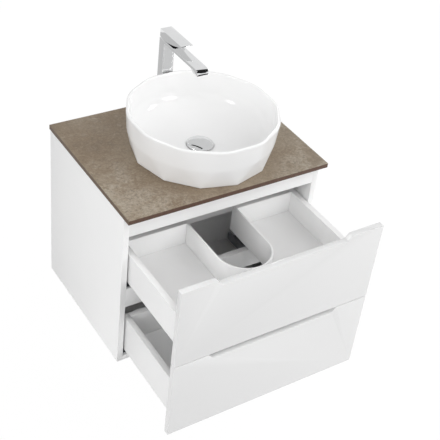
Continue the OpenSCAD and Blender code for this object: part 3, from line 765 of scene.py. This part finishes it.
# %% Plug
def revolve(name, profile, axis, count=96):
    """A mesh from a profile of (radius, height) carried round a vertical axis;
    its first and last points lie on the axis, which closes the shape."""
    turn = np.linspace(0.0, 2.0 * math.pi, count, endpoint=False)
    radius, height = profile[:, :1], profile[:, 1:]
    x = axis[0] + radius * np.cos(turn)
    y = axis[1] + radius * np.sin(turn)
    points = np.stack([x, y, np.broadcast_to(height, x.shape)], -1)
    return grid_mesh(name, points, ring_closed=False)


ROLL, ROLL_Z, DOME_LOW, UNDER_Z = 1.3 * MM, 1.5 * MM, 2.9 * MM, 0.2 * MM
RINGS_DOME, RINGS_ROLL = 14, 9
plug_low, plug_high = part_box("waste_plug")
plug_r = (plug_high.x - plug_low.x) / 2
dome_r = plug_r - ROLL

turn = np.linspace(0.0, 1.0, RINGS_DOME)
fall = plug_high.z - plug_low.z - DOME_LOW
dome = np.stack([dome_r * turn, plug_high.z - fall * turn**2], 1)
bend = np.linspace(math.radians(80.0), math.radians(-90.0), RINGS_ROLL)
edge = np.stack(
    [dome_r + ROLL * np.cos(bend), plug_low.z + ROLL_Z + ROLL * np.sin(bend)], 1
)
under_z = plug_low.z + UNDER_Z
under_side = np.array([[dome_r * 0.6, under_z], [0.0, under_z]])

profile = np.concatenate([dome, edge, under_side])
plug_mesh = revolve("plug_dome", profile, np.add(plug_low, plug_high) / 2)
add_piece("plug_dome", plug_mesh, "plug", "chrome", "waste_plug")
print("plug across mm:", round(2 * plug_r / MM, 1))

# %% [markdown]
# ## Studio floor
#
# The vanity hangs over a pale floor at the height of a real room. Camera, gloss
# and glass see the floor as plain white, and it keeps a share of its own
# shading, so the shadow stays.

# %% Floor
GROUND_Z, GROUND_HALF = -0.80, 15.0
GLOW, OWN_SHARE = 1.07, 0.10


def stage_sheet(name, corners, material):
    """A flat sheet through four corners that isn't part of the object."""
    mesh = bpy.data.meshes.new(name)
    mesh.from_pydata(corners, [], [(0, 1, 2, 3)])
    mesh.materials.append(material)
    sheet = bpy.data.objects.new(name, mesh)
    bpy.context.scene.collection.objects.link(sheet)
    return sheet


def level(x, y, z):
    """Corners of a level rectangle at one height z."""
    return [(x[0], y[0], z), (x[1], y[0], z), (x[1], y[1], z), (x[0], y[1], z)]


def seen_white(finish, strength, keep):
    """Mixes plain light of a strength over a shader, for camera, gloss and glass
    rays, and keeps a share of the shader's own shading."""
    seen = finish.ray("Camera", "Glossy", "Transmission")
    glow = finish.node("ShaderNodeEmission", None, {"Strength": strength})
    own = Value(finish, finish.shader.outputs[0])
    inputs = {0: seen * (1.0 - keep), 1: own, 2: glow}
    mixed = finish.node("ShaderNodeMixShader", None, inputs)
    feed(finish.tree, finish.tree.nodes["Material Output"].inputs["Surface"], mixed)


across = (-GROUND_HALF, GROUND_HALF)
floor_finish = Finish("floor", base_color=(0.4, 0.4, 0.4), roughness=0.9)
seen_white(floor_finish, GLOW, OWN_SHARE)
stage_sheet("floor", level(across, across, GROUND_Z), floor_finish.material)
print("floor at", GROUND_Z)

# %% [markdown]
# ## Cards
#
# Polished metal and glaze show what stands round them, so cards are hung about
# the part: grey where the wall is, black over the tap and before it, grey under
# the lever, where light would be trapped, grey over the plug with a black streak,
# and three bright windows whose glints lie in the bowl. A white screen hides the
# third window from the fronts. Only gloss sees these cards: they neither light
# the part nor shade it.
#
# The cabinet has no back, so a black cloth in its open back keeps out the light
# that the wall would keep out. It is the one sheet that blocks matt light too, and
# it makes the inside dark from behind. The camera sees neither cards nor cloth.


# %% Card shapes
def upright(x, y, z):
    """Corners of an upright rectangle at one depth y."""
    return [(x[0], y, z[0]), (x[1], y, z[0]), (x[1], y, z[1]), (x[0], y, z[1])]


def sideways(x, y, z):
    """Corners of an upright rectangle at one x, seen from the side."""
    return [(x, y[0], z[0]), (x, y[1], z[0]), (x, y[1], z[1]), (x, y[0], z[1])]


LEVER_END = 0.045
nose, (lever_low, lever_high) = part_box("tap_body")[0].y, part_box("lever")
depth = (lever_low.y, lever_low.y + LEVER_END)
heights = [lever_high.z - 3.0 * MM] * 2 + [lever_low.z + 2.4 * MM] * 2
plan = level((lever_low.x, lever_high.x), depth, 0.0)
under_lever = [(x, y, z) for (x, y, _), z in zip(plan, heights)]
streak = [(0.011, -0.200), (0.034, -0.252), (0.042, -0.248), (0.018, -0.197)]
ledge_low, ledge_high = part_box("rear_ledge")
open_back = upright(
    (ledge_low.x, ledge_high.x),
    ledge_low.y + 0.5 * MM,
    (ledge_high.z, worktop_low.z),
)
print("the tap's nose is at y", round(nose, 4))

# %% Cards
BLACK, WINDOW = 0.02, 14.0
CEILING_Z = 0.336
CARDS = [  # name, corners, strength
    ("grey_wall", upright((-1.5, 1.5), 0.004, (GROUND_Z, 0.27)), 0.62),
    ("black_ceiling", level((-0.1, 1.2), (-1.8, nose + 0.004), CEILING_Z), BLACK),
    ("black_screen", upright((0.25, 0.85), nose - 0.90, (0.10, CEILING_Z)), BLACK),
    ("black_flag", upright((0.03, 0.11), nose - 0.035, (0.19, 0.2487)), BLACK),
    ("grey_under_lever", under_lever, 0.65),
    ("grey_over_plug", level((-0.002, 0.137), (-0.31, -0.123), 0.13), 0.72),
    ("black_over_plug", [(x, y, 0.128) for x, y in streak], BLACK),
    ("first_window", sideways(0.25, (-0.24, -0.17), (0.27, 0.335)), WINDOW),
    ("second_window", upright((0.088, 0.122), nose + 0.012, (0.18, 0.24)), WINDOW),
    ("third_window", sideways(-0.35, (-0.39, -0.18), (0.42, 0.58)), WINDOW),
    ("white_screen", upright((-0.60, -0.05), -0.42, (0.15, 0.75)), 1.0),
    ("black_cloth", open_back, 0.0),
]
for name, corners, strength in CARDS:
    finish = Finish(name, base_color=(0.0, 0.0, 0.0), emission_strength=1.0)
    finish.set(emission_color=(strength, strength, strength), specular_ior_level=0.0)
    sheet = stage_sheet(name, corners, finish.material)
    sheet.visible_camera = False
    sheet.visible_diffuse = sheet.visible_shadow = name == "black_cloth"
    sheet.visible_transmission = sheet.visible_volume_scatter = False
print("hung", len(CARDS), "sheets")

# %% [markdown]
# ## World
#
# Soft light comes from the front and both sides, and less from over the wall
# behind. Each soft box is a smooth patch of the sky round one direction. Matt
# surfaces are lit by the sum of them. Gloss sees a bright room with a slightly
# greyer sheet overhead instead, and the camera sees plain white.

# %% World
AMBIENT = 0.03
SOFT_BOXES = {  # towards, sharpness, strength
    "front left": ((-0.25, -0.80, 0.50), 40, 2.4),
    "high over the left shoulder": ((-0.35, -0.45, 0.80), 40, 1.6),
    "front right": ((0.45, -0.60, 0.60), 6, 1.6),
    "right": ((1.0, -0.3, 0.3), 4, 1.95),
    "left": ((-1.0, -0.3, 0.2), 4, 2.5),
    "over the wall": ((0.0, 1.0, 0.5), 4, 1.3),
}
OVERHEAD, HORIZON = 0.90, 1.0


def soft_box(sky, towards, sharpness, strength):
    """Light from round one direction: the cosine of the angle to it, or 0 behind
    it, to a power, times a strength."""
    length = math.sqrt(sum(part * part for part in towards))
    settings = {"operation": "DOT_PRODUCT"}
    inputs = {0: sky.place, 1: [part / length for part in towards]}
    cosine = sky.node("ShaderNodeVectorMath", settings, inputs, "Value")
    return cosine.larger(0.0).power(sharpness) * strength


world = bpy.data.worlds.new("studio")
bpy.context.scene.world = world
world.use_nodes = True
sky = Graph(world.node_tree, "Generated")
matt = AMBIENT
for box in SOFT_BOXES.values():
    matt = soft_box(sky, *box) + matt
shiny = HORIZON + (OVERHEAD - HORIZON) * sky.axis("Z").above(0.16, 0.06)
background, gloss = sky.ray("Camera", "Transmission"), sky.ray("Glossy")
strength = background + (1.0 - background) * (gloss * shiny + (1.0 - gloss) * matt)
inputs = {"Color": (1.0, 1.0, 1.0), "Strength": strength}
light = sky.node("ShaderNodeBackground", None, inputs)
feed(sky.tree, sky.tree.nodes["World Output"].inputs["Surface"], light)
print("world: soft boxes", len(SOFT_BOXES))
